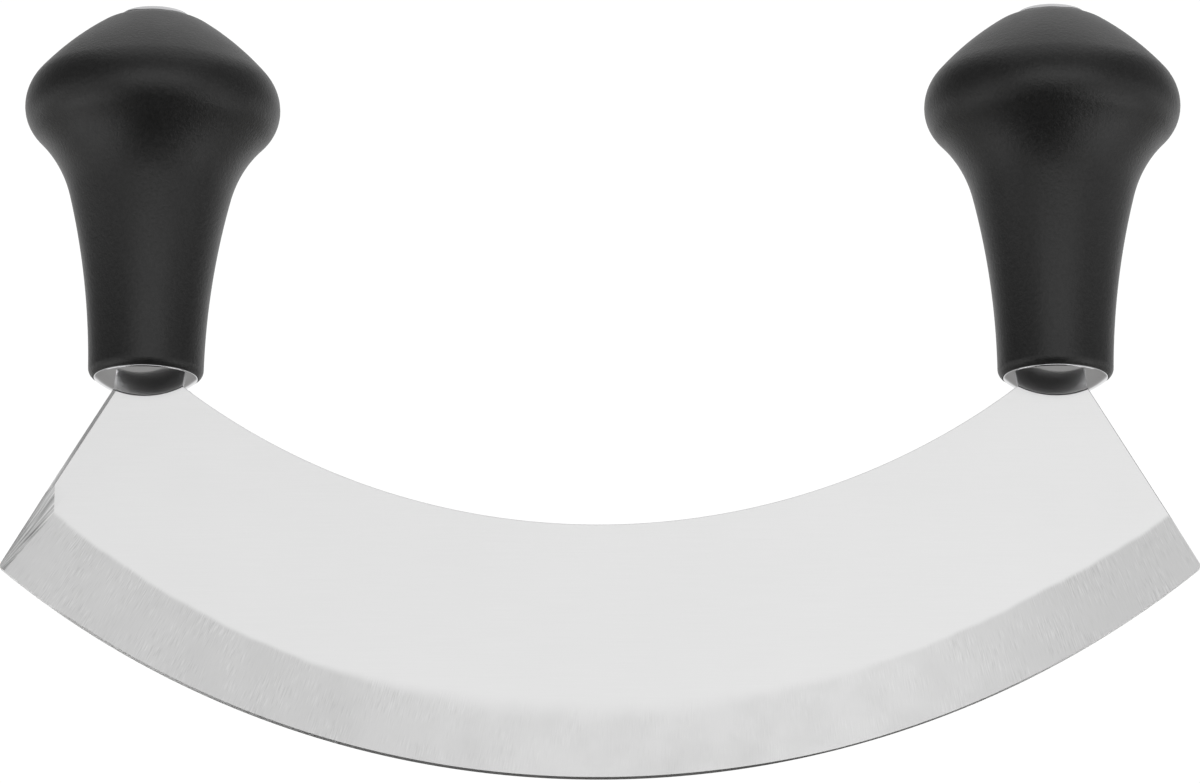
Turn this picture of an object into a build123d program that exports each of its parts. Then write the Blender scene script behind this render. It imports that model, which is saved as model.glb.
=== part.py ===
from build123d import *
import os
from math import cos, pi, radians, sin, sqrt, tan

# Two-handled rocking chopper with a crescent blade. Lengths are in millimetres. X runs along
# the blade, Y through its thickness with the front at -Y, and Z up the handles. The origin is
# the lowest point of the cutting edge, so the tool stands on it.

# Blade
blade_length = 231.0  # between the sharp corners of the two ends, before the tips are rounded
blade_depth = 49.6  # cutting edge to spine, on the middle line
blade_thickness = 2.0
edge_radius = 182.0
tip_round = 1.2
neck_width = 13.6
neck_offset = 0.6  # how far the neck's middle lies inward of the handle's axis

# Grinding of the blade
bevel_width = 13.6
bevel_edge_thickness = 0.5  # what the wide bevel leaves behind the second one
fine_bevel_width = 0.6
edge_land = 0.1  # thickness that is left at the very edge
end_chamfer_width = 0.7
end_chamfer_depth = 0.3
corner_facet_width = 10.6
corner_facet_depth = 0.85  # how deep it cuts into the front face at the tip

# Handles
handle_inset = 27.5  # from a handle's axis to the blade's end corner, along the blade
handle_height = 72.6
base_diameter = 22.4
base_corner_height = 1.7
base_lip_width = 0.2  # flat ring that is left round the ferrule
neck_draft = 0.8  # degrees
neck_curve_radius = 153.0
neck_to_knob_radius = 25.6
knob_diameter = 49.9
knob_height = 54.4  # from the handle's lower end to its widest place
knob_lower_radius = 8.4
knob_upper_radius = 9.6
crown_radius = 59.5
crown_lip_radius = 10.0
crown_lip_slope = 10.7  # degrees from level where the plastic meets the end cap

# Ferrules
rim_height = 78.8  # above the lowest point of the cutting edge
ferrule_diameter = 20.2
ferrule_dome_radius = 16.1
ferrule_wall = 0.8
ferrule_skirt = 6.0  # how deep it reaches into the plastic above its rim
ferrule_rim_chamfer = 0.2
ferrule_reveal = 0.2  # how far the rim stands below the plastic

# Tangs, tie rods and rivets
tang_width = 7.0
tang_thickness = 1.6
tang_length = 22.0
tang_corner = 1.0
rod_diameter = 7.0
rod_start = 2.2  # height of the rod's lower end above the ferrule's rim
fork_depth = 17.5
thread_diameter = 5.0
thread_length = 12.0
rod_chamfer = 0.5
rivet_diameter = 2.5
rivet_count = 2
rivet_spacing = 7.0
rivet_start = 5.5  # height of the first rivet above the rod's lower end

# Washers and nuts
washer_diameter = 10.0
washer_hole_diameter = 5.3
washer_thickness = 1.0
nut_sides = 6
nut_across_flats = 8.0
nut_height = 4.0
nut_chamfer_slope = 30.0  # degrees
thread_stand_out = 1.0  # how far the rod's thread stands above the nut

# End caps and the pocket under them
cap_diameter = 14.4
cap_wall = 0.8
cap_skirt = 4.0  # how deep the cap reaches into the plastic
cap_reveal = 0.9  # how far its side stands above the plastic
cap_rise = 0.85
cap_corner_chamfer = 0.3
nut_pocket_diameter = 12.6
nut_pocket_depth = 6.0

# Clearances
seat_gap = 0.02  # between the blade's shoulder and the ferrule's dome
pressed_gap = 0.03  # radial, for caps and ferrules in the plastic
bore_gap = 0.15  # radial, for the rod in the handle
slot_gap = 0.1  # on every side of a tang in its slot
rivet_gap = 0.02  # radial
thread_gap = 0.03  # radial
overrun = 2.0  # how far a cutting or joined body reaches past the face it meets

# Heights and places worked out from the sizes above
axis_x = blade_length / 2 - handle_inset
ferrule_radius = ferrule_diameter / 2
dome_drop = ferrule_dome_radius - sqrt(ferrule_dome_radius**2 - ferrule_radius**2)
dome_bottom = rim_height - dome_drop
dome_centre = dome_bottom + ferrule_dome_radius
handle_bottom = rim_height + ferrule_reveal
handle_lip = handle_bottom + handle_height
socket_roof = rim_height + ferrule_skirt
rod_bottom = rim_height + rod_start
rivet_heights = [rod_bottom + rivet_start + n * rivet_spacing for n in range(rivet_count)]
cap_ledge = handle_lip - cap_skirt
washer_seat = cap_ledge - nut_pocket_depth
nut_seat = washer_seat + washer_thickness
rod_top = nut_seat + nut_height + thread_stand_out
sides = {"left": -axis_x, "right": axis_x}


# Upright plane through a handle's axis, with sketch X along the blade and sketch Y up
def upright_plane(x):
    return Plane(origin=(x, 0, 0), x_dir=(1, 0, 0), z_dir=(0, -1, 0))


# Level plane at a height, centred on a handle's axis
def level_plane(x, height):
    return Plane(origin=(x, 0, height))


# Vertical line through a handle
def handle_axis(x):
    return Axis((x, 0, 0), (0, 0, 1))


# Height of the crescent's ends, and the neck's corners under a handle. The neck's top follows
# the ferrule's dome, so the shoulder carries the ferrule all the way across.
tip_height = edge_radius - sqrt(edge_radius**2 - (blade_length / 2) ** 2)
shoulder_radius = ferrule_dome_radius + seat_gap
neck_outer = neck_width / 2 - neck_offset
neck_inner = -neck_width / 2 - neck_offset


def shoulder_point(offset):
    return (axis_x + offset, dome_centre - sqrt(shoulder_radius**2 - offset**2))


tip = (blade_length / 2, tip_height)
outer_corner = shoulder_point(neck_outer)
inner_corner = shoulder_point(neck_inner)


def mirrored(point):
    return (-point[0], point[1])


# Radial section of what the grinding wheels take off one face: a wide bevel, then a fine one
half_blade = blade_thickness / 2
bevel_start = edge_radius - bevel_width
fine_bevel_start = edge_radius - fine_bevel_width
ground_section = [
    (half_blade, bevel_start),
    (bevel_edge_thickness / 2, fine_bevel_start),
    (edge_land / 2, edge_radius),
    (edge_land / 2, edge_radius + overrun),
    (half_blade + overrun, edge_radius + overrun),
    (half_blade + overrun, bevel_start),
]

# Crescent blade with its two tangs
with BuildPart() as blade:
    # Stamped blank, in the sheet's full thickness
    with BuildSketch(Plane.XZ):
        with BuildLine():
            ThreePointArc(mirrored(tip), (0, 0), tip)
            Line(tip, outer_corner)
            RadiusArc(outer_corner, inner_corner, shoulder_radius)
            ThreePointArc(inner_corner, (0, blade_depth), mirrored(inner_corner))
            RadiusArc(mirrored(inner_corner), mirrored(outer_corner), shoulder_radius)
            Line(mirrored(outer_corner), mirrored(tip))
        make_face()
        tips = vertices().sort_by(Axis.X)
        fillet([tips[0], tips[-1]], radius=tip_round)
    extrude(amount=half_blade, both=True)

    # Both faces are ground to the cutting edge, round the centre of its arc
    edge_axis = Axis((0, 0, edge_radius), (0, 1, 0))
    for face in (1, -1):
        with BuildSketch(Plane.YZ):
            with BuildLine():
                Polyline([(face * y, edge_radius - r) for y, r in ground_section], close=True)
            make_face()
        revolve(axis=edge_axis, mode=Mode.SUBTRACT)

    # Narrow chamfer down the left end of the front face
    left_corner = Vector(-outer_corner[0], 0, outer_corner[1])
    left_end = Vector(-tip[0], 0, tip[1]) - left_corner
    down = left_end.normalized()
    outward = (down.Z, 0, -down.X)
    chamfer_slope = end_chamfer_depth / end_chamfer_width
    with BuildSketch(Plane(origin=left_corner - down * overrun, x_dir=outward, z_dir=down)):
        with BuildLine():
            Polyline(
                (-end_chamfer_width, -half_blade),
                (overrun, -half_blade + chamfer_slope * (end_chamfer_width + overrun)),
                (overrun, -half_blade - overrun),
                (-end_chamfer_width, -half_blade - overrun),
                close=True,
            )
        make_face()
    extrude(amount=left_end.length + 2 * overrun, mode=Mode.SUBTRACT)

    # Corner facet, which thins the left tip from an upright line on the front face
    facet_start = -blade_length / 2 + corner_facet_width
    facet_end = -blade_length / 2 - overrun
    facet_slope = corner_facet_depth / corner_facet_width
    with BuildSketch(Plane.XY):
        with BuildLine():
            Polyline(
                (facet_start, -half_blade),
                (facet_end, -half_blade + facet_slope * (corner_facet_width + overrun)),
                (facet_end, -half_blade - overrun),
                (facet_start, -half_blade - overrun),
                close=True,
            )
        make_face()
    extrude(amount=handle_bottom, mode=Mode.SUBTRACT)

    # Tangs, narrower and thinner than the necks they rise from, with two rivet holes each
    tang_bottom = dome_bottom - overrun
    tang_top = dome_bottom + tang_length
    for x in sides.values():
        with BuildSketch(upright_plane(x)):
            with Locations((0, tang_bottom)):
                Rectangle(tang_width, tang_top - tang_bottom, align=(Align.CENTER, Align.MIN))
            fillet(vertices().group_by(Axis.Y)[-1], radius=tang_corner)
            with Locations([(0, height) for height in rivet_heights]):
                Circle(rivet_diameter / 2 + rivet_gap, mode=Mode.SUBTRACT)
        extrude(amount=tang_thickness / 2, both=True)
blade.part.label = "blade"


# Turned cup with a domed bottom, level inside and open at the top, with a slot for the tang
def make_ferrule(x):
    inner_radius = ferrule_radius - ferrule_wall
    with BuildPart() as ferrule:
        with BuildSketch(upright_plane(x)):
            with BuildLine():
                rim = (ferrule_radius, rim_height)
                RadiusArc((0, dome_bottom), rim, -ferrule_dome_radius)
                Polyline(
                    rim,
                    (ferrule_radius, socket_roof),
                    (inner_radius, socket_roof),
                    (inner_radius, rim_height),
                    (0, rim_height),
                    (0, dome_bottom),
                )
            make_face()
            chamfer(vertices().sort_by_distance(rim)[0], length=ferrule_rim_chamfer)
        revolve(axis=handle_axis(x))
        with BuildSketch(level_plane(x, dome_bottom - overrun)):
            Rectangle(tang_width + 2 * slot_gap, tang_thickness + 2 * slot_gap)
        extrude(amount=dome_drop + 2 * overrun, mode=Mode.SUBTRACT)
    return ferrule


# Centre of the arc that touches two others, from how far it lies from the centre of each
def touching_centre(first, first_reach, second, second_reach, side):
    span = second - first
    along = (first_reach**2 - second_reach**2 + span.length**2) / (2 * span.length)
    across = sqrt(first_reach**2 - along**2)
    forward = span.normalized()
    return first + forward * along + Vector(-forward.Y, forward.X) * across * side


# Point of a circle that faces a given centre, or turns away from it where the radius is negative
def facing_point(centre, radius, other):
    return centre + (other - centre).normalized() * radius


# Moulded handle, turned about its axis. Its outline is a chain of arcs that run into each other
# without a corner: neck, hollow under the knob, knob's edge, crown and lip. Inside are the
# ferrule's socket, the rod's bore, the nut's pocket and the recess for the end cap.
def make_handle(x):
    base_radius = base_diameter / 2
    knob_radius = knob_diameter / 2
    socket_radius = ferrule_radius + pressed_gap
    recess_radius = cap_diameter / 2 + pressed_gap
    bore_radius = rod_diameter / 2 + bore_gap
    pocket_radius = nut_pocket_diameter / 2
    lip_ring_radius = socket_radius + base_lip_width
    base_top = Vector(base_radius, handle_bottom + base_corner_height)
    widest = Vector(knob_radius, handle_bottom + knob_height)
    lip = Vector(recess_radius, handle_lip)

    draft = radians(neck_draft)
    neck_centre = base_top + Vector(cos(draft), -sin(draft)) * neck_curve_radius
    lower_centre = widest - Vector(knob_lower_radius, 0)
    hollow_centre = touching_centre(
        neck_centre,
        neck_curve_radius - neck_to_knob_radius,
        lower_centre,
        neck_to_knob_radius + knob_lower_radius,
        1,
    )
    neck_end = facing_point(neck_centre, neck_curve_radius, hollow_centre)
    hollow_end = facing_point(lower_centre, knob_lower_radius, hollow_centre)

    slope = radians(crown_lip_slope)
    upper_centre = widest - Vector(knob_upper_radius, 0)
    lip_centre = lip - Vector(sin(slope), cos(slope)) * crown_lip_radius
    crown_centre = touching_centre(
        upper_centre,
        crown_radius - knob_upper_radius,
        lip_centre,
        crown_radius - crown_lip_radius,
        1,
    )
    crown_start = facing_point(upper_centre, -knob_upper_radius, crown_centre)
    crown_end = facing_point(lip_centre, -crown_lip_radius, crown_centre)

    corner_curve_radius = ((base_radius - lip_ring_radius) ** 2 + base_corner_height**2) / (
        2 * (base_radius - lip_ring_radius)
    )
    with BuildPart() as handle:
        with BuildSketch(upright_plane(x)):
            with BuildLine():
                RadiusArc((lip_ring_radius, handle_bottom), base_top, -corner_curve_radius)
                RadiusArc(base_top, neck_end, neck_curve_radius)
                RadiusArc(neck_end, hollow_end, neck_to_knob_radius)
                RadiusArc(hollow_end, widest, -knob_lower_radius)
                RadiusArc(widest, crown_start, -knob_upper_radius)
                RadiusArc(crown_start, crown_end, -crown_radius)
                RadiusArc(crown_end, lip, -crown_lip_radius)
                Polyline(
                    lip,
                    (recess_radius, cap_ledge),
                    (pocket_radius, cap_ledge),
                    (pocket_radius, washer_seat),
                    (bore_radius, washer_seat),
                    (bore_radius, socket_roof),
                    (socket_radius, socket_roof),
                    (socket_radius, handle_bottom),
                    (lip_ring_radius, handle_bottom),
                )
            make_face()
        revolve(axis=handle_axis(x))
    return handle


# Steel rod, forked at the bottom to straddle the tang and turned down at the top for the thread
def make_tie_rod(x):
    with BuildPart() as rod:
        thread_start = rod_top - thread_length
        with BuildSketch(level_plane(x, rod_bottom)):
            Circle(rod_diameter / 2)
        extrude(amount=thread_start - rod_bottom)
        with BuildSketch(level_plane(x, thread_start)):
            Circle(thread_diameter / 2)
        extrude(amount=thread_length)
        ends = edges().filter_by(GeomType.CIRCLE).group_by(Axis.Z)
        chamfer([ends[0][0], ends[-1][0]], length=rod_chamfer)
        with BuildSketch(level_plane(x, rod_bottom)):
            Rectangle(rod_diameter + overrun, tang_thickness + 2 * slot_gap)
        extrude(amount=fork_depth, mode=Mode.SUBTRACT)
        with BuildSketch(upright_plane(x)):
            with Locations([(0, height) for height in rivet_heights]):
                Circle(rivet_diameter / 2 + rivet_gap)
        extrude(amount=rod_diameter, both=True, mode=Mode.SUBTRACT)
    return rod


# Two plain rivets across the fork, ground flush with the rod
def make_rivets(x):
    rivet_length = 2 * sqrt((rod_diameter / 2) ** 2 - (rivet_diameter / 2) ** 2)
    with BuildPart() as rivets:
        with BuildSketch(upright_plane(x)):
            with Locations([(0, height) for height in rivet_heights]):
                Circle(rivet_diameter / 2)
        extrude(amount=rivet_length / 2, both=True)
    return rivets


# Flat washer on the floor of the nut pocket
def make_washer(x):
    with BuildPart() as washer:
        with BuildSketch(level_plane(x, washer_seat)):
            Circle(washer_diameter / 2)
            Circle(washer_hole_diameter / 2, mode=Mode.SUBTRACT)
        extrude(amount=washer_thickness)
    return washer


# Hexagon nut, its corners turned off at both ends
def make_nut(x):
    flat_radius = nut_across_flats / 2
    corner_radius = flat_radius / cos(pi / nut_sides)
    corner_drop = (corner_radius - flat_radius) * tan(radians(nut_chamfer_slope))
    nut_top = nut_seat + nut_height
    with BuildPart() as nut:
        with BuildSketch(level_plane(x, nut_seat)):
            RegularPolygon(corner_radius, nut_sides)
            Circle(thread_diameter / 2 + thread_gap, mode=Mode.SUBTRACT)
        extrude(amount=nut_height)
        with BuildSketch(upright_plane(x)):
            with BuildLine():
                Polyline(
                    (0, nut_seat),
                    (flat_radius, nut_seat),
                    (corner_radius, nut_seat + corner_drop),
                    (corner_radius, nut_top - corner_drop),
                    (flat_radius, nut_top),
                    (0, nut_top),
                    close=True,
                )
            make_face()
        revolve(axis=handle_axis(x), mode=Mode.INTERSECT)
    return nut


# Steel cap with a shallow dome, pushed into the knob over the nut
def make_end_cap(x):
    cap_radius = cap_diameter / 2
    inner_radius = cap_radius - cap_wall
    cap_top = handle_lip + cap_reveal + cap_rise
    cap_roof = handle_lip + cap_reveal - cap_wall
    cap_dome_radius = (cap_radius**2 + cap_rise**2) / (2 * cap_rise)
    with BuildPart() as cap:
        with BuildSketch(upright_plane(x)):
            with BuildLine():
                corner = (cap_radius, handle_lip + cap_reveal)
                RadiusArc(corner, (0, cap_top), -cap_dome_radius)
                Polyline(
                    (0, cap_top),
                    (0, cap_roof),
                    (inner_radius, cap_roof),
                    (inner_radius, cap_ledge),
                    (cap_radius, cap_ledge),
                    corner,
                )
            make_face()
            chamfer(vertices().sort_by_distance(corner)[0], length=cap_corner_chamfer)
        revolve(axis=handle_axis(x))
    return cap


makers = {
    "ferrule": make_ferrule,
    "handle": make_handle,
    "tie_rod": make_tie_rod,
    "tang_rivets": make_rivets,
    "washer": make_washer,
    "nut": make_nut,
    "end_cap": make_end_cap,
}

# Every piece of both handles, then the blade
os.makedirs("parts", exist_ok=True)
for side, x in sides.items():
    for piece, make in makers.items():
        built = make(x)
        built.part.label = f"{side}_{piece}"
        export_step(built.part, f"parts/{built.part.label}.step")
export_step(blade.part, "parts/blade.step")
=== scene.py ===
from math import asin, atan2, cos, degrees, pi, radians, sin, sqrt

import bmesh
import bpy
from mathutils import Matrix, Vector


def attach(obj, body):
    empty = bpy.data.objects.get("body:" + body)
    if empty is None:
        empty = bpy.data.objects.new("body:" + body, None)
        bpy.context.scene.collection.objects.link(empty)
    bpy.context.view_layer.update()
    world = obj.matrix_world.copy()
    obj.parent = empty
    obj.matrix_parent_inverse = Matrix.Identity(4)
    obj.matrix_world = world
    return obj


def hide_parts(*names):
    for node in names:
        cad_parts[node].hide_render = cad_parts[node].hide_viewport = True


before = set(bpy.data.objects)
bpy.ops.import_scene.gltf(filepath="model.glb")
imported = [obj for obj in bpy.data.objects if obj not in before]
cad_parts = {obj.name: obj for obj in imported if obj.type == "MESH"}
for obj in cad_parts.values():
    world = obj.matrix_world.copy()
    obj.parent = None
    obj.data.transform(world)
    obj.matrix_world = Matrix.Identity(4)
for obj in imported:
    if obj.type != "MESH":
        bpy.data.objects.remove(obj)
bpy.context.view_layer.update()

# Blade: one crescent stamped from 2 mm stainless sheet, its two tangs running up into the
# handles. Both faces are ground to the round cutting edge, and the left tip has a corner that
# was taken off by hand on a coarse wheel.
mm = 0.001
half_sheet = 1.0
edge_radius = 182.0
edge_centre = Vector((0.0, edge_radius))
tip_x = 115.5
tip_round = 1.2
wide_bevel = 13.3
fine_bevel = 0.25
half_behind_edge = 0.25
half_land = 0.05
spine_depth = 49.6
edge_break = 0.12
neck_inside = -7.4
neck_width = 13.6
handle_x = 88.0
rim_height = 78.8
dome_radius = 16.1
rim_radius = 10.1
dome_fit = 0.02
dome_centre = rim_height + sqrt(dome_radius**2 - rim_radius**2)
shoulder_radius = dome_radius + dome_fit


def new_object(name, bm, crease=30.0):
    bmesh.ops.remove_doubles(bm, verts=bm.verts, dist=1e-7)
    bmesh.ops.recalc_face_normals(bm, faces=bm.faces)
    mesh = bpy.data.meshes.new(name)
    bm.to_mesh(mesh)
    bm.free()
    mesh.shade_smooth()
    mesh.set_sharp_from_angle(angle=radians(crease))
    made = bpy.data.objects.new(name, mesh)
    bpy.context.scene.collection.objects.link(made)
    return made


# Joins a closed mesh to another, or cuts it out, and leaves one closed skin
def combine(body, tool, operation):
    cut = body.modifiers.new("combine", "BOOLEAN")
    cut.object = tool
    cut.operation = operation
    cut.solver = "EXACT"
    bpy.context.view_layer.update()
    view = bpy.context.evaluated_depsgraph_get()
    old = body.data
    body.data = bpy.data.meshes.new_from_object(body.evaluated_get(view))
    body.modifiers.clear()
    bpy.data.meshes.remove(old)
    spent = tool.data
    bpy.data.objects.remove(tool)
    bpy.data.meshes.remove(spent)


def arc_points(centre, radius, start, end, steps):
    turn = (end - start) / steps
    angles = [start + i * turn for i in range(steps + 1)]
    return [centre + Vector((cos(angle), sin(angle))) * radius for angle in angles]


def ease(value, low, high):
    share = min(max((value - low) / (high - low), 0.0), 1.0)
    return share * share * (3 - 2 * share)


# Where the two bevels begin, as distances from the centre of the edge's arc, at a turn in degrees
# from the middle. Both were ground by hand: the wide one wavers a little and is widest at the left
# tip, and the fine one is wider from near that tip to just past the middle. The last value says how
# softly the wide one begins, which is least crisp in the middle.
def bevel_starts(turn):
    fine = fine_bevel + 0.22 * ease(turn, -36, -33.5) * ease(turn, 15, 5)
    wide = wide_bevel + 1.4 * ease(turn, -15, -40) + 0.4 * ease(turn, 5, 20) - 2.1 * ease(turn, 28, 42)
    wide += 0.08 * sin(1.1 * turn) + 0.05 * sin(3.1 * turn + 1.0)
    soft = 2.8 - 2.2 * ease(abs(turn), 3, 22)
    return edge_radius - wide, edge_radius - fine, soft


# Half the blade's thickness. The wheel leaves no corner where the wide bevel begins, so the two
# faces run into each other over a few millimetres.
def half_thickness(spot):
    from_centre = spot - edge_centre
    distance = from_centre.length
    bevel_start, fine_start, soft = bevel_starts(degrees(atan2(from_centre.x, -from_centre.y)))
    slope = (half_sheet - half_behind_edge) / (fine_start - bevel_start)
    if distance > fine_start:
        share = min((distance - fine_start) / (edge_radius - fine_start), 1.0)
        return half_behind_edge + (half_land - half_behind_edge) * share
    into = distance - bevel_start
    if into > soft:
        return half_sheet - slope * into
    if into > -soft:
        return half_sheet - slope * (into + soft) ** 2 / (4 * soft)
    return half_sheet


# Place on the line from one point to another that lies at a distance from the edge's centre
def place_at(outer, inner, distance):
    start = outer - edge_centre
    step = inner - outer
    a = step.dot(step)
    b = start.dot(step)
    c = start.dot(start) - distance**2
    return (-b - sqrt(max(b * b - a * c, 0.0))) / a


def shoulder_point(offset):
    return Vector((handle_x + offset, dome_centre - sqrt(shoulder_radius**2 - offset**2)))


# Right half of the outline: cutting edge, rounded tip, end, shoulder and spine. The tip's
# rounding touches both the edge and the end.
tip = Vector((tip_x, edge_radius - sqrt(edge_radius**2 - tip_x**2)))
outer_corner = shoulder_point(neck_inside + neck_width)
inner_corner = shoulder_point(neck_inside)
end_way = (outer_corner - tip).normalized()
end_inward = Vector((-end_way.y, end_way.x))
inset_tip = tip + end_inward * tip_round
from_centre = inset_tip - edge_centre
to_foot = -from_centre.dot(end_way)
tip_reach = to_foot - sqrt(to_foot**2 - from_centre.dot(from_centre) + (edge_radius - tip_round) ** 2)
tip_centre = inset_tip + end_way * tip_reach
tip_out = (tip_centre - edge_centre).normalized()
tip_start = atan2(tip_out.y, tip_out.x)
tip_end = atan2(-end_inward.y, -end_inward.x)
spine_rise = inner_corner.y - spine_depth
spine_radius = (inner_corner.x**2 + spine_rise**2) / (2 * spine_rise)
spine_centre = Vector((0.0, spine_depth + spine_radius))
neck_turn = atan2(inner_corner.x, edge_radius - inner_corner.y)

# Columns of points run from the cutting edge up to the spine and, past it, to the shoulder
arc_steps = 160
columns = []
for i in range(arc_steps + 1):
    turn = neck_turn * i / arc_steps
    outer = edge_centre + Vector((sin(turn), -cos(turn))) * edge_radius
    way = (edge_centre - outer).normalized()
    from_spine = outer - spine_centre
    to_foot = -from_spine.dot(way)
    along = to_foot - sqrt(to_foot**2 - from_spine.dot(from_spine) + spine_radius**2)
    columns.append((outer, outer + way * along))
end_outer = arc_points(edge_centre, edge_radius, neck_turn - pi / 2, tip_start, steps=14)[1:]
end_outer += arc_points(tip_centre, tip_round, tip_start, tip_end, steps=12)[1:]
for i, outer in enumerate(end_outer, start=1):
    offset = neck_inside + neck_width * i / len(end_outer)
    columns.append((outer, shoulder_point(offset)))
mirror = Vector((-1.0, 1.0))
columns = [(outer * mirror, inner * mirror) for outer, inner in reversed(columns[1:])] + columns

# Each column has a few points on the bevels, most of them where the wide one begins, an even row
# up the flat, and three over the broken edge at its top
bevel_depths = (1.5, 4.0, 7.0)
soft_points = 13
flat_points = 6
break_shares = (0.3, 0.65, 1.0)
blank = bmesh.new()
ground = blank.verts.layers.float.new("ground")
skins = []
for face in (-1, 1):
    skin = []
    for outer, inner in columns:
        length = (inner - outer).length
        bevel_start, fine_start, soft = bevel_starts(degrees(atan2(outer.x, edge_radius - outer.y)))
        distances = [edge_radius, fine_start] + [edge_radius - depth for depth in bevel_depths]
        distances += [bevel_start + soft * (2 - i / 4) for i in range(soft_points)]
        places = [max(place_at(outer, inner, distance), 0.0) for distance in distances]
        last = 1.0 - edge_break / length
        near_last = last - edge_break / length
        flat_reach = near_last - places[-1]
        places += [places[-1] + flat_reach * i / flat_points for i in range(1, flat_points + 1)]
        places.append(last)
        column = []
        for t in places:
            spot = outer.lerp(inner, t)
            column.append((spot, half_thickness(spot)))
        for share in break_shares:
            spot = outer.lerp(inner, last + (1.0 - last) * share)
            column.append((spot, half_sheet - edge_break * (1 - sqrt(1 - share**2))))
        skin.append([])
        for spot, half in column:
            vert = blank.verts.new((spot.x * mm, face * half * mm, spot.y * mm))
            vert[ground] = ease((spot - edge_centre).length, bevel_start - soft, bevel_start + soft)
            skin[-1].append(vert)
    for left, right in zip(skin, skin[1:]):
        for a, b, c, d in zip(left, left[1:], right[1:], right):
            blank.faces.new((a, b, c, d))
    skins.append(skin)


# A skin's border: the cutting edge, the right end, the spine and the left end
def border(skin):
    bottom = [column[0] for column in skin]
    top = [column[-1] for column in reversed(skin[:-1])]
    return bottom + skin[-1][1:] + top + skin[0][-2:0:-1]


front, back = (border(skin) for skin in skins)
for i in range(len(front)):
    j = (i + 1) % len(front)
    blank.faces.new((front[i], front[j], back[j], back[i]))
bmesh.ops.remove_doubles(blank, verts=blank.verts, dist=1e-7)
bmesh.ops.recalc_face_normals(blank, faces=blank.faces)


# Takes off everything beyond a plane and closes the cut with one flat face
def grind_off(bm, place, outward, slot=0):
    bmesh.ops.bisect_plane(
        bm,
        geom=bm.verts[:] + bm.edges[:] + bm.faces[:],
        dist=1e-8,
        plane_co=place,
        plane_no=outward,
        clear_outer=True,
    )
    open_edges = [edge for edge in bm.edges if edge.is_boundary]
    for flat in bmesh.ops.edgeloop_fill(bm, edges=open_edges)["faces"]:
        flat.material_index = slot


# The ends' edges are broken with a file, the left front one is chamfered, and the left tip loses
# a wedge whose cut runs out at the tip itself
chamfer_width = 0.7
chamfer_depth = 0.14
for side, face, width, depth in (
    (1, -1, edge_break, edge_break),
    (1, 1, edge_break, edge_break),
    (-1, 1, edge_break, edge_break),
    (-1, -1, chamfer_width, chamfer_depth),
):
    outward = Vector((-side * end_inward.x, 0, -end_inward.y))
    corner = Vector((side * outer_corner.x, face * (half_sheet - depth), outer_corner.y)) * mm
    grind_off(blank, corner, outward * depth + Vector((0, face * width, 0)))
facet_width = 10.6
facet_depth = 0.85
facet_corner = Vector((-tip_x + facet_width, -half_sheet, 0)) * mm
grind_off(blank, facet_corner, Vector((-facet_depth, -facet_width, 0)), slot=1)
blade = new_object("crescent_blade", blank, crease=10.0)


def srgb(code):
    parts = [int(code[i : i + 2], 16) / 255 for i in (1, 3, 5)]
    return tuple(p / 12.92 if p <= 0.04045 else ((p + 0.055) / 1.055) ** 2.4 for p in parts) + (1.0,)


# Adds one node. inputs gives a value, or a socket to link, for each input by name or number
def add(tree, kind, inputs=None, **settings):
    made = tree.nodes.new(kind)
    for name, value in settings.items():
        setattr(made, name, value)
    for name, value in (inputs or {}).items():
        if isinstance(value, bpy.types.NodeSocket):
            tree.links.new(value, made.inputs[name])
        else:
            made.inputs[name].default_value = value
    return made


def new_material(name):
    made = bpy.data.materials.new(name)
    made.use_nodes = True
    made.node_tree.nodes.clear()
    return made, made.node_tree


# Satin stainless sheet with a wheel-ground bevel: the flat is fine and even, and the bevel has short
# scratches across it that fan out from a point above.
# The bevel's colour is painted darker towards the ends, most at the right end, as painted shade where its
# reflection turns away from the front box
mm_per_m = (1000, 1000, 1000)
fan_point = (20, 0, 229)
fan_to_edge = 220
satin, tree = new_material("satin_and_ground_stainless")
place = add(tree, "ShaderNodeTexCoord")
to_mm = add(tree, "ShaderNodeVectorMath", {0: place.outputs["Object"], 1: mm_per_m}, operation="MULTIPLY")
on_bevel = add(tree, "ShaderNodeAttribute", attribute_name="ground")
from_fan = add(tree, "ShaderNodeVectorMath", {0: to_mm.outputs[0], 1: fan_point}, operation="SUBTRACT")
fan = add(tree, "ShaderNodeSeparateXYZ", {0: from_fan.outputs[0]})
down = add(tree, "ShaderNodeMath", {0: fan.outputs["Z"], 1: -1.0}, operation="MULTIPLY")
fan_turn = add(tree, "ShaderNodeMath", {0: fan.outputs["X"], 1: down.outputs[0]}, operation="ARCTAN2")
fan_reach = add(tree, "ShaderNodeVectorMath", {0: from_fan.outputs[0]}, operation="LENGTH")
fan_place = add(
    tree,
    "ShaderNodeCombineXYZ",
    {"X": fan_turn.outputs[0], "Y": fan_reach.outputs["Value"]},
)
# Scratches 0.22 mm wide at the edge and some 3 mm long. The real ones are finer, and this is as
# coarse as they need to be to show.
scratch_place = add(
    tree,
    "ShaderNodeVectorMath",
    {0: fan_place.outputs[0], 1: (fan_to_edge / 0.22, 1 / 3, 1)},
    operation="MULTIPLY",
)
scratches = add(
    tree,
    "ShaderNodeTexNoise",
    {"Vector": scratch_place.outputs[0], "Scale": 1.0, "Detail": 1.0},
)
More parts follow.
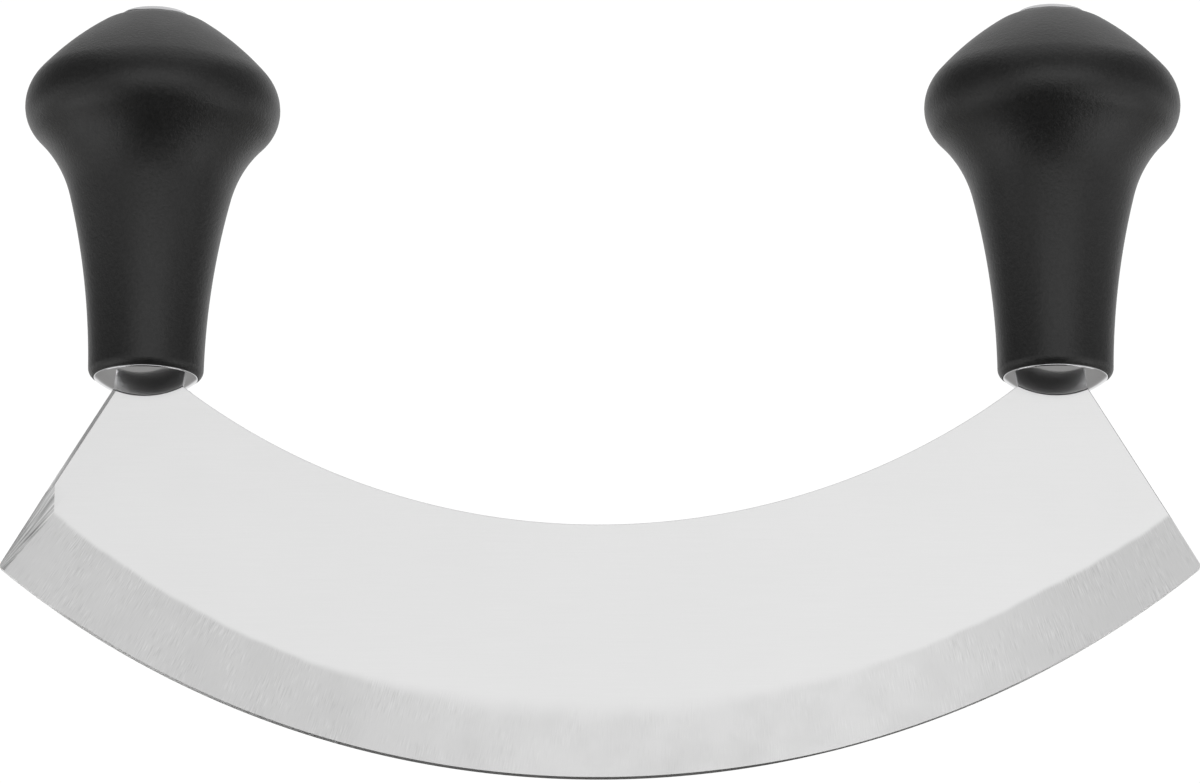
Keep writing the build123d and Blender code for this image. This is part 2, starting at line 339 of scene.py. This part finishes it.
# They come in patches about 8 mm across, more of them towards the ends than in the middle
patch_place = add(
    tree,
    "ShaderNodeVectorMath",
    {0: fan_place.outputs[0], 1: (fan_to_edge / 8, 1 / 8, 1)},
    operation="MULTIPLY",
)
patches = add(
    tree,
    "ShaderNodeTexNoise",
    {"Vector": patch_place.outputs[0], "Scale": 1.0, "Detail": 2.0},
)
off_middle = add(tree, "ShaderNodeMath", {0: fan_turn.outputs[0]}, operation="ABSOLUTE")
to_end = add(
    tree,
    "ShaderNodeMapRange",
    {"Value": off_middle.outputs[0], "From Min": radians(6), "From Max": radians(22)},
    interpolation_type="SMOOTHSTEP",
)
patch_share = add(
    tree,
    "ShaderNodeMapRange",
    {"Value": patches.outputs[0], "From Min": 0.4, "From Max": 0.65, "To Min": 0.15},
)
end_share = add(tree, "ShaderNodeMapRange", {"Value": to_end.outputs[0], "To Min": 0.25})
scratched = add(
    tree,
    "ShaderNodeMath",
    {0: patch_share.outputs[0], 1: end_share.outputs[0]},
    operation="MULTIPLY",
)
scratch_depth = add(
    tree,
    "ShaderNodeMapRange",
    {"Value": scratches.outputs[0], "From Min": 0.35, "From Max": 0.65, "To Min": -1.0},
)
# Cubing keeps the few deep ones and fades the rest
deepest = add(tree, "ShaderNodeMath", {0: scratch_depth.outputs[0], 1: 3.0}, operation="POWER")
scratch_tone = add(
    tree,
    "ShaderNodeMath",
    {0: deepest.outputs[0], 1: scratched.outputs[0]},
    operation="MULTIPLY",
)
# The flat's grain is 0.25 mm wide and 12 mm long and runs along the blade, and its gloss changes
# in clouds of 30 mm
grain_place = add(
    tree,
    "ShaderNodeVectorMath",
    {0: to_mm.outputs[0], 1: (1 / 12, 1, 1 / 0.25)},
    operation="MULTIPLY",
)
grain = add(
    tree,
    "ShaderNodeTexNoise",
    {"Vector": grain_place.outputs[0], "Scale": 1.0, "Detail": 2.0},
)
cloud = add(
    tree,
    "ShaderNodeTexNoise",
    {"Vector": to_mm.outputs[0], "Scale": 1 / 30, "Detail": 2.0},
)
flat_colour = add(
    tree,
    "ShaderNodeMix",
    {"Factor": grain.outputs[0], "A": srgb("#d4d4d4"), "B": srgb("#d8d8d8")},
    data_type="RGBA",
)
# The wheel also leaves soft clouds about 9 mm across on the bevel
cloud_place = add(
    tree,
    "ShaderNodeVectorMath",
    {0: to_mm.outputs[0], 1: (1 / 9, 1 / 9, 1 / 9)},
    operation="MULTIPLY",
)
wheel_clouds = add(
    tree,
    "ShaderNodeTexNoise",
    {"Vector": cloud_place.outputs[0], "Scale": 1.0, "Detail": 3.0},
)
cloud_share = add(
    tree,
    "ShaderNodeMapRange",
    {"Value": wheel_clouds.outputs[0], "From Min": 0.4, "From Max": 0.75, "To Max": 0.3},
)
# Painted shade: the bevel's colour goes darker towards both ends, and most towards the right end, where
# its reflection turns away from the front box. to_end also sets where the scratches are thickest
right_shade_share = add(tree, "ShaderNodeMapRange", {"Value": fan_turn.outputs[0], "From Max": radians(25)})
end_shade_colour = add(
    tree,
    "ShaderNodeMix",
    {"Factor": right_shade_share.outputs[0], "A": srgb("#d3d3d3"), "B": srgb("#c7c7c7")},
    data_type="RGBA",
)
ground_colour_with_shade = add(
    tree,
    "ShaderNodeMix",
    {"Factor": to_end.outputs[0], "A": srgb("#e1e1e1"), "B": end_shade_colour.outputs["Result"]},
    data_type="RGBA",
)
tone_share = add(tree, "ShaderNodeMapRange", {"Value": scratch_tone.outputs[0], "From Min": -1.0})
tone = add(
    tree,
    "ShaderNodeMix",
    {"Factor": tone_share.outputs[0], "A": srgb("#dcdcdc"), "B": srgb("#ffffff")},
    data_type="RGBA",
)
clouded_colour = add(
    tree,
    "ShaderNodeMix",
    {"Factor": cloud_share.outputs[0], "A": ground_colour_with_shade.outputs["Result"], "B": srgb("#c4c4c4")},
    data_type="RGBA",
)
bevel_colour = add(
    tree,
    "ShaderNodeMix",
    {"Factor": 1.0, "A": clouded_colour.outputs["Result"], "B": tone.outputs["Result"]},
    data_type="RGBA",
    blend_type="MULTIPLY",
)
steel_colour = add(
    tree,
    "ShaderNodeMix",
    {
        "Factor": on_bevel.outputs["Fac"],
        "A": flat_colour.outputs["Result"],
        "B": bevel_colour.outputs["Result"],
    },
    data_type="RGBA",
)
flat_rough = add(
    tree,
    "ShaderNodeMapRange",
    {"Value": cloud.outputs[0], "To Min": 0.27, "To Max": 0.31},
)
bevel_rough = add(
    tree,
    "ShaderNodeMapRange",
    {"Value": scratch_tone.outputs[0], "From Min": -1.0, "To Min": 0.3, "To Max": 0.38},
)
steel_rough = add(
    tree,
    "ShaderNodeMix",
    {"Factor": on_bevel.outputs["Fac"], "A": flat_rough.outputs[0], "B": bevel_rough.outputs[0]},
)
relief = add(
    tree,
    "ShaderNodeMix",
    {"Factor": on_bevel.outputs["Fac"], "A": grain.outputs[0], "B": scratch_tone.outputs[0]},
)
bump = add(
    tree,
    "ShaderNodeBump",
    {"Height": relief.outputs["Result"], "Strength": 0.1, "Distance": 0.02 * mm},
)
steel = add(
    tree,
    "ShaderNodeBsdfPrincipled",
    {
        "Base Color": steel_colour.outputs["Result"],
        "Metallic": 1.0,
        "Roughness": steel_rough.outputs["Result"],
        "Normal": bump.outputs[0],
    },
)
add(tree, "ShaderNodeOutputMaterial", {"Surface": steel.outputs[0]})

# Coarse-ground stainless of the corner facet: dark, with deep lines that run up and away from
# the tip
line_point = (-117.5, 0, 38.5)
coarse, tree = new_material("coarse_ground_stainless")
place = add(tree, "ShaderNodeTexCoord")
to_mm = add(tree, "ShaderNodeVectorMath", {0: place.outputs["Object"], 1: mm_per_m}, operation="MULTIPLY")
from_tip = add(tree, "ShaderNodeVectorMath", {0: to_mm.outputs[0], 1: line_point}, operation="SUBTRACT")
line = add(tree, "ShaderNodeSeparateXYZ", {0: from_tip.outputs[0]})
line_turn = add(tree, "ShaderNodeMath", {0: line.outputs["X"], 1: line.outputs["Z"]}, operation="ARCTAN2")
line_reach = add(tree, "ShaderNodeVectorMath", {0: from_tip.outputs[0]}, operation="LENGTH")
# Lines 0.35 mm apart where the facet is widest, 17 mm from the tip, and 15 mm long
across = add(tree, "ShaderNodeMath", {0: line_turn.outputs[0], 1: 17 / 0.35}, operation="MULTIPLY")
along = add(tree, "ShaderNodeMath", {0: line_reach.outputs["Value"], 1: 1 / 15}, operation="MULTIPLY")
line_place = add(
    tree,
    "ShaderNodeCombineXYZ",
    {"X": across.outputs[0], "Y": along.outputs[0], "Z": 2.0},
)
lines = add(
    tree,
    "ShaderNodeTexNoise",
    {"Vector": line_place.outputs[0], "Scale": 1.0, "Detail": 2.0, "Roughness": 0.7},
)
line_share = add(
    tree,
    "ShaderNodeMapRange",
    {"Value": lines.outputs[0], "From Min": 0.3, "From Max": 0.7},
)
line_colour = add(
    tree,
    "ShaderNodeMix",
    {"Factor": line_share.outputs[0], "A": srgb("#808080"), "B": srgb("#e6e6e6")},
    data_type="RGBA",
)
bump = add(
    tree,
    "ShaderNodeBump",
    {"Height": lines.outputs[0], "Strength": 0.5, "Distance": 0.1 * mm},
)
steel = add(
    tree,
    "ShaderNodeBsdfPrincipled",
    {
        "Base Color": line_colour.outputs["Result"],
        "Metallic": 1.0,
        "Roughness": 0.4,
        "Normal": bump.outputs[0],
    },
)
add(tree, "ShaderNodeOutputMaterial", {"Surface": steel.outputs[0]})
blade.data.materials.append(satin)
blade.data.materials.append(coarse)

# The tangs are narrower and thinner than the necks, and each has two holes for its rivets
half_tang = 3.5
half_tang_sheet = 0.8
tang_corner = 1.0
tang_foot = rim_height - 6.0
tang_top = dome_centre - dome_radius + 22.0
rivet_heights = (86.5, 93.5)
hole_radius = 1.27
pin_length = 4.0
for side in (-1, 1):
    tang = bmesh.new()
    outline = [Vector((-half_tang, tang_foot)), Vector((half_tang, tang_foot))]
    for x, start in ((half_tang - tang_corner, 0), (tang_corner - half_tang, pi / 2)):
        corner = Vector((x, tang_top - tang_corner))
        outline += arc_points(corner, tang_corner, start, start + pi / 2, steps=6)
    places = [((side * handle_x + p.x) * mm, -half_tang_sheet * mm, p.y * mm) for p in outline]
    sheet = tang.faces.new([tang.verts.new(place) for place in places])
    moved = bmesh.ops.extrude_face_region(tang, geom=[sheet])["geom"]
    far_verts = [item for item in moved if isinstance(item, bmesh.types.BMVert)]
    bmesh.ops.translate(tang, verts=far_verts, vec=(0, 2 * half_tang_sheet * mm, 0))
    combine(blade, new_object("tang", tang), "UNION")
    for height in rivet_heights:
        pin = bmesh.new()
        spot = Matrix.Translation((side * handle_x * mm, 0, height * mm))
        bmesh.ops.create_cone(
            pin,
            cap_ends=True,
            segments=32,
            radius1=hole_radius * mm,
            radius2=hole_radius * mm,
            depth=pin_length * mm,
            matrix=spot @ Matrix.Rotation(pi / 2, 4, "X"),
        )
        combine(blade, new_object("pin", pin), "DIFFERENCE")
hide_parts("blade")
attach(blade, "root")

# Ferrules: stainless cups turned from bar, with a domed bottom polished to a mirror. The blade's
# shoulder holds each one up against the plastic, and the tang passes through its slot.
socket_roof = rim_height + 6.0
cup_wall = 0.8
rim_round = 0.4
sides = (("left", -handle_x), ("right", handle_x))
slot_length = 7.2
slot_width = 1.8
slot_height = 10.0


# Turns a closed outline of radius and height round a handle's axis
def turned(name, outline, axis_x, crease=30.0, segments=144):
    bm = bmesh.new()
    rings = []
    for i in range(segments):
        angle = 2 * pi * (i + 0.5) / segments
        c, s = cos(angle), sin(angle)
        rings.append([bm.verts.new(((axis_x + p.x * c) * mm, p.x * s * mm, p.y * mm)) for p in outline])
    for i, ring in enumerate(rings):
        after = rings[(i + 1) % segments]
        for j in range(len(outline)):
            k = (j + 1) % len(outline)
            if outline[j].x > 0 or outline[k].x > 0:
                bm.faces.new((ring[j], ring[k], after[k], after[j]))
    return new_object(name, bm, crease)


round_x = rim_radius - rim_round
round_reach = dome_radius - rim_round
rim_angle = asin(round_x / round_reach)
rim_round_centre = Vector((round_x, dome_centre - sqrt(round_reach**2 - round_x**2)))
cup_outline = arc_points(Vector((0, dome_centre)), dome_radius, -pi / 2, -pi / 2 + rim_angle, steps=40)
cup_outline[0].x = 0.0
cup_outline += arc_points(rim_round_centre, rim_round, -pi / 2 + rim_angle, 0, steps=6)[1:]
cup_outline += [
    Vector(point)
    for point in (
        (rim_radius, socket_roof),
        (rim_radius - cup_wall, socket_roof),
        (rim_radius - cup_wall, rim_height),
        (0, rim_height),
    )
]

# Stainless polished to a mirror: it shows the studio clearly, dulled a little by a haze that
# buffing leaves in clouds of about 3 mm
polished, tree = new_material("mirror_polished_stainless")
place = add(tree, "ShaderNodeTexCoord")
to_mm = add(tree, "ShaderNodeVectorMath", {0: place.outputs["Object"], 1: mm_per_m}, operation="MULTIPLY")
haze = add(tree, "ShaderNodeTexNoise", {"Vector": to_mm.outputs[0], "Scale": 1 / 3, "Detail": 3.0})
haze_rough = add(
    tree,
    "ShaderNodeMapRange",
    {"Value": haze.outputs[0], "To Min": 0.05, "To Max": 0.11},
)
steel_colour = add(
    tree,
    "ShaderNodeMix",
    {"Factor": haze.outputs[0], "A": srgb("#c0c0c2"), "B": srgb("#cacacb")},
    data_type="RGBA",
)
steel = add(
    tree,
    "ShaderNodeBsdfPrincipled",
    {
        "Base Color": steel_colour.outputs["Result"],
        "Metallic": 1.0,
        "Roughness": haze_rough.outputs[0],
    },
)
add(tree, "ShaderNodeOutputMaterial", {"Surface": steel.outputs[0]})
for side, axis_x in sides:
    cup = turned(f"{side}_domed_ferrule", cup_outline, axis_x)
    slot = bmesh.new()
    slot_place = Matrix.Translation((axis_x * mm, 0, rim_height * mm))
    slot_scale = Matrix.Diagonal((slot_length * mm, slot_width * mm, slot_height * mm, 1))
    bmesh.ops.create_cube(slot, size=1.0, matrix=slot_place @ slot_scale)
    combine(cup, new_object("slot", slot), "DIFFERENCE")
    cup.data.materials.clear()
    cup.data.materials.append(polished)
    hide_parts(f"{side}_ferrule")
    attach(cup, "root")

# Handles: solid black mouldings with a mushroom knob, drawn down onto the ferrule by the nut in
# the knob. Their outline is a chain of arcs with no corner in it.
handle_bottom = rim_height + 0.2
lip_height = handle_bottom + 72.6
cap_ledge = lip_height - 4.0
washer_seat = cap_ledge - 6.0
foot_rise = 1.7
base_top = Vector((11.2, handle_bottom + foot_rise))
widest = Vector((24.95, handle_bottom + 54.4))
lip = Vector((7.23, lip_height))
foot = Vector((10.33, handle_bottom))
neck_radius = 153.0
hollow_radius = 25.6
lower_radius = 8.4
upper_radius = 9.6
crown_radius = 59.5
lip_radius = 10.0
neck_draft = radians(0.8)
lip_slope = radians(10.7)
pocket_radius = 6.3
bore_radius = 3.65
socket_radius = 10.13


# Centre of the arc that touches two others, from their centres and its distance from each
def touching_centre(first, first_reach, second, second_reach):
    span = second - first
    along = (first_reach**2 - second_reach**2 + span.length**2) / (2 * span.length)
    across = sqrt(first_reach**2 - along**2)
    forward = span.normalized()
    return first + forward * along + Vector((-forward.y, forward.x)) * across


# Arc round a centre from one point to another, the shorter way
def arc_between(centre, start, end, steps):
    first = start - centre
    turn = (end - centre).angle_signed(first)
    angle = atan2(first.y, first.x)
    return arc_points(centre, first.length, angle, angle + turn, steps)


foot_step = base_top.x - foot.x
foot_radius = (foot_step**2 + foot_rise**2) / (2 * foot_step)
neck_centre = base_top + Vector((cos(neck_draft), -sin(neck_draft))) * neck_radius
lower_centre = widest - Vector((lower_radius, 0))
upper_centre = widest - Vector((upper_radius, 0))
lip_centre = lip - Vector((sin(lip_slope), cos(lip_slope))) * lip_radius
hollow_centre = touching_centre(
    neck_centre,
    neck_radius - hollow_radius,
    lower_centre,
    hollow_radius + lower_radius,
)
crown_centre = touching_centre(
    upper_centre,
    crown_radius - upper_radius,
    lip_centre,
    crown_radius - lip_radius,
)
neck_end = neck_centre + (hollow_centre - neck_centre).normalized() * neck_radius
hollow_end = lower_centre + (hollow_centre - lower_centre).normalized() * lower_radius
crown_start = crown_centre + (upper_centre - crown_centre).normalized() * crown_radius
crown_end = crown_centre + (lip_centre - crown_centre).normalized() * crown_radius
handle_outline = arc_between(base_top - Vector((foot_radius, 0)), foot, base_top, steps=8)
for centre, start, end, steps in (
    (neck_centre, base_top, neck_end, 24),
    (hollow_centre, neck_end, hollow_end, 20),
    (lower_centre, hollow_end, widest, 14),
    (upper_centre, widest, crown_start, 14),
    (crown_centre, crown_start, crown_end, 16),
    (lip_centre, crown_end, lip, 8),
):
    handle_outline += arc_between(centre, start, end, steps)[1:]
handle_outline += [
    Vector(point)
    for point in (
        (lip.x, cap_ledge),
        (pocket_radius, cap_ledge),
        (pocket_radius, washer_seat),
        (bore_radius, washer_seat),
        (bore_radius, socket_roof),
        (socket_radius, socket_roof),
        (socket_radius, handle_bottom),
    )
]

# Black polypropylene moulded in a spark-eroded tool: an even satin with a very fine grain, so
# highlights are broad and soft
plastic, tree = new_material("moulded_black_polypropylene")
place = add(tree, "ShaderNodeTexCoord")
to_mm = add(tree, "ShaderNodeVectorMath", {0: place.outputs["Object"], 1: mm_per_m}, operation="MULTIPLY")
# Spark grain 0.3 mm across, coarser than the real one so that it shows, over clouds of 8 mm.
# Handling has left faint mottles of about 0.7 mm in it.
grain = add(
    tree,
    "ShaderNodeTexNoise",
    {"Vector": to_mm.outputs[0], "Scale": 1 / 0.3, "Detail": 2.0},
)
cloud = add(tree, "ShaderNodeTexNoise", {"Vector": to_mm.outputs[0], "Scale": 1 / 8, "Detail": 2.0})
mottle = add(
    tree,
    "ShaderNodeTexNoise",
    {"Vector": to_mm.outputs[0], "Scale": 1 / 0.7, "Detail": 3.0, "Roughness": 0.65},
)
mottle_share = add(
    tree,
    "ShaderNodeMapRange",
    {"Value": mottle.outputs[0], "From Min": 0.35, "From Max": 0.65},
)
black = add(
    tree,
    "ShaderNodeMix",
    {"Factor": mottle_share.outputs[0], "A": srgb("#060606"), "B": srgb("#161616")},
    data_type="RGBA",
)
satin_rough = add(
    tree,
    "ShaderNodeMapRange",
    {"Value": cloud.outputs[0], "To Min": 0.37, "To Max": 0.45},
)
mottle_bump = add(
    tree,
    "ShaderNodeBump",
    {"Height": mottle.outputs[0], "Strength": 1.0, "Distance": 0.09 * mm},
)
bump = add(
    tree,
    "ShaderNodeBump",
    {
        "Height": grain.outputs[0],
        "Strength": 1.0,
        "Distance": 0.03 * mm,
        "Normal": mottle_bump.outputs[0],
    },
)
shell = add(
    tree,
    "ShaderNodeBsdfPrincipled",
    {
        "Base Color": black.outputs["Result"],
        "Roughness": satin_rough.outputs[0],
        "IOR": 1.49,
        "Normal": bump.outputs[0],
    },
)
add(tree, "ShaderNodeOutputMaterial", {"Surface": shell.outputs[0]})
for side, axis_x in sides:
    handle = turned(f"{side}_knob_handle", handle_outline, axis_x)
    handle.data.materials.append(plastic)
    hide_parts(f"{side}_handle")
    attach(handle, "root")

# End caps: shallow domed steel lids, pushed into the knob over the nut and polished like the
# ferrules
cap_radius = 7.2
cap_wall = 0.8
cap_shoulder = lip_height + 0.9
cap_rise = 0.85
cap_top = cap_shoulder + cap_rise
cap_dome = (cap_radius**2 + cap_rise**2) / (2 * cap_rise)
cap_round = 1.4
cap_lean = radians(18)
round_x = cap_radius - cap_round * cos(cap_lean)
round_reach = cap_dome - cap_round
round_centre = Vector((round_x, cap_top - cap_dome + sqrt(round_reach**2 - round_x**2)))
cap_turn = asin(round_x / round_reach)
cap_outline = arc_points(round_centre, cap_round, cap_lean, pi / 2 - cap_turn, steps=12)
cap_outline += arc_points(
    Vector((0, cap_top - cap_dome)),
    cap_dome,
    pi / 2 - cap_turn,
    pi / 2,
    steps=16,
)[1:]
cap_outline[-1].x = 0.0
cap_outline += [
    Vector(point)
    for point in (
        (0, cap_shoulder - cap_wall),
        (cap_radius - cap_wall, cap_shoulder - cap_wall),
        (cap_radius - cap_wall, cap_ledge),
        (cap_radius, cap_ledge),
    )
]
for side, axis_x in sides:
    cap = turned(f"{side}_domed_cap", cap_outline, axis_x)
    cap.data.materials.append(polished)
    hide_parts(f"{side}_end_cap")
    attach(cap, "root")

# Fixings inside the handles: slotted tie rods, rivets, washers and nuts in plain steel, zinc
# plated so that they don't rust in the wash. None of them shows.
zinc, tree = new_material("zinc_plated_steel")
place = add(tree, "ShaderNodeTexCoord")
to_mm = add(tree, "ShaderNodeVectorMath", {0: place.outputs["Object"], 1: mm_per_m}, operation="MULTIPLY")
# A dull grey with spangle about 1.5 mm across, and turning marks 0.2 mm apart up the rods
spangle = add(
    tree,
    "ShaderNodeTexNoise",
    {"Vector": to_mm.outputs[0], "Scale": 1 / 1.5, "Detail": 2.0},
)
mark_place = add(
    tree,
    "ShaderNodeVectorMath",
    {0: to_mm.outputs[0], 1: (1 / 10, 1 / 10, 1 / 0.2)},
    operation="MULTIPLY",
)
marks = add(
    tree,
    "ShaderNodeTexNoise",
    {"Vector": mark_place.outputs[0], "Scale": 1.0, "Detail": 1.0},
)
zinc_colour = add(
    tree,
    "ShaderNodeMix",
    {"Factor": spangle.outputs[0], "A": srgb("#a9adb2"), "B": srgb("#c3c5c8")},
    data_type="RGBA",
)
bump = add(
    tree,
    "ShaderNodeBump",
    {"Height": marks.outputs[0], "Strength": 0.3, "Distance": 0.02 * mm},
)
steel = add(
    tree,
    "ShaderNodeBsdfPrincipled",
    {
        "Base Color": zinc_colour.outputs["Result"],
        "Metallic": 1.0,
        "Roughness": 0.35,
        "Normal": bump.outputs[0],
    },
)
add(tree, "ShaderNodeOutputMaterial", {"Surface": steel.outputs[0]})
for side in ("left", "right"):
    for piece in ("tie_rod", "tang_rivets", "washer", "nut"):
        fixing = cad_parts[f"{side}_{piece}"]
        fixing.data.materials.clear()
        fixing.data.materials.append(zinc)

# Studio, in metres: a pale floor well below the blade, because the camera looks up at it, with a
# large soft box above and another in front. A black card with a lamp tube and a white card on each
# side of it lies under the lens and shows only as a reflection.
floor_height = -0.25
floor_radius = 9.0
floor_mesh = bmesh.new()
bmesh.ops.create_circle(
    floor_mesh,
    cap_ends=True,
    segments=96,
    radius=floor_radius,
    matrix=Matrix.Translation((0, 0, floor_height)),
)
floor = new_object("floor", floor_mesh)
# Matt white paint, which turns into the bright white background between 0.8 and 3 m away
paint, tree = new_material("matt_white_floor_paint")
place = add(tree, "ShaderNodeTexCoord")
away = add(tree, "ShaderNodeVectorMath", {0: place.outputs["Object"]}, operation="LENGTH")
far = add(
    tree,
    "ShaderNodeMapRange",
    {"Value": away.outputs["Value"], "From Min": 0.8, "From Max": 3.0},
    interpolation_type="SMOOTHSTEP",
)
matt = add(tree, "ShaderNodeBsdfDiffuse", {"Color": srgb("#e6e5e3")})
glow = add(tree, "ShaderNodeEmission", {"Color": (1, 1, 1, 1), "Strength": 1.03})
blend = add(tree, "ShaderNodeMixShader", {0: far.outputs[0], 1: matt.outputs[0], 2: glow.outputs[0]})
add(tree, "ShaderNodeOutputMaterial", {"Surface": blend.outputs[0]})
floor.data.materials.append(paint)

# Black flock, which darkens the ferrules' bottoms, white paper lit from behind, which brightens
# their sides, and bright lamp tubes, which draw a soft light bar on them
flock, tree = new_material("black_flock")
matt = add(tree, "ShaderNodeBsdfDiffuse", {"Color": srgb("#2e2e2e")})
add(tree, "ShaderNodeOutputMaterial", {"Surface": matt.outputs[0]})
lit_paper, tree = new_material("lit_white_paper")
glow = add(tree, "ShaderNodeEmission", {"Color": (1, 1, 1, 1), "Strength": 1.6})
add(tree, "ShaderNodeOutputMaterial", {"Surface": glow.outputs[0]})
tube_glass, tree = new_material("glowing_lamp_tube")
glow = add(tree, "ShaderNodeEmission", {"Color": (1, 1, 1, 1), "Strength": 4.0})
add(tree, "ShaderNodeOutputMaterial", {"Surface": glow.outputs[0]})
card_thickness = 0.002
for name, middle_x, middle_y, width, length, finish in (
    ("black_card", 0.0, -0.43, 0.64, 0.74, flock),
    ("left_tube", -0.335, -0.3, 0.03, 0.5, tube_glass),
    ("right_tube", 0.34, -0.3, 0.04, 0.5, tube_glass),
    ("left_white_card", -0.65, -0.2, 0.4, 0.6, lit_paper),
    ("right_white_card", 0.65, -0.2, 0.4, 0.6, lit_paper),
):
    card_mesh = bmesh.new()
    card_place = Matrix.Translation((middle_x, middle_y, floor_height + card_thickness))
    card_scale = Matrix.Diagonal((width, length, card_thickness, 1))
    bmesh.ops.create_cube(card_mesh, size=1.0, matrix=card_place @ card_scale)
    card = new_object(name, card_mesh)
    card.visible_camera = False
    card.visible_diffuse = False
    card.visible_shadow = False
    card.data.materials.append(finish)

# The room is a dim grey, a little brighter to the right, and white behind the blade and from the
# horizon down
world = bpy.data.worlds.new("white_room")
bpy.context.scene.world = world
world.use_nodes = True
tree = world.node_tree
tree.nodes.clear()
look = add(tree, "ShaderNodeTexCoord")
ways = add(tree, "ShaderNodeSeparateXYZ", {0: look.outputs["Generated"]})
side = add(
    tree,
    "ShaderNodeMapRange",
    {"Value": ways.outputs["X"], "From Min": -0.4, "From Max": 0.8, "To Min": 0.22, "To Max": 0.34},
    interpolation_type="SMOOTHSTEP",
)
behind = add(
    tree,
    "ShaderNodeMapRange",
    {"Value": ways.outputs["Y"], "From Min": 0.45, "From Max": 0.95},
    interpolation_type="SMOOTHSTEP",
)
level = add(
    tree,
    "ShaderNodeMapRange",
    {"Value": ways.outputs["Z"], "From Min": 0.06, "From Max": 0.02},
    interpolation_type="SMOOTHSTEP",
)
white = add(tree, "ShaderNodeMath", {0: behind.outputs[0], 1: level.outputs[0]}, operation="MAXIMUM")
strength = add(tree, "ShaderNodeMix", {"Factor": white.outputs[0], "A": side.outputs[0], "B": 1.04})
air = add(
    tree,
    "ShaderNodeBackground",
    {"Color": (1, 1, 1, 1), "Strength": strength.outputs["Result"]},
)
add(tree, "ShaderNodeOutputWorld", {"Surface": air.outputs[0]})

# A soft box's power is its brightness times its area times pi
middle = Vector((0, 0, 0.08))
for name, where, width, height, brightness in (
    ("overhead_box", Vector((0.0, 0.05, 1.3)), 1.6, 1.9, 0.7),
    ("front_box", Vector((0.15, -1.25, 0.35)), 1.6, 0.75, 0.96),
):
    box = bpy.data.lights.new(name, "AREA")
    box.shape = "RECTANGLE"
    box.size = width
    box.size_y = height
    box.energy = brightness * width * height * pi
    lamp = bpy.data.objects.new(name, box)
    lamp.location = where
    lamp.rotation_mode = "QUATERNION"
    lamp.rotation_quaternion = (middle - where).to_track_quat("-Z", "Y")
    lamp.visible_camera = False
    bpy.context.scene.collection.objects.link(lamp)

# Camera: a long lens a little over a metre away, 14.6 degrees below the object's own level and
# almost square to the blade. It was fitted to the photo's outline, in pixels of the photo.
photo_width = 1200.0
lens_pixels = 5937.0
sensor_width = 36.0
camera_distance = 1.1472
pitch = radians(14.598)
yaw = radians(-1.745)
roll = radians(0.405)
aim = Vector((0.0000914, 0, 0.076213))
ahead = Vector((sin(yaw) * cos(pitch), cos(yaw) * cos(pitch), sin(pitch)))
right = ahead.cross(Vector((0, 0, 1))).normalized()
up = right.cross(ahead)
right, up = right * cos(roll) + up * sin(roll), up * cos(roll) - right * sin(roll)
camera = bpy.data.objects.new("camera", bpy.data.cameras.new("camera"))
camera.data.sensor_width = sensor_width
camera.data.lens = sensor_width * lens_pixels / photo_width
camera.data.clip_start = 0.01
camera_turn = Matrix((right, up, -ahead)).transposed().to_4x4()
camera.matrix_world = Matrix.Translation(aim - ahead * camera_distance) @ camera_turn
bpy.context.scene.collection.objects.link(camera)
bpy.context.scene.camera = camera
bpy.context.scene.view_settings.view_transform = "Standard"
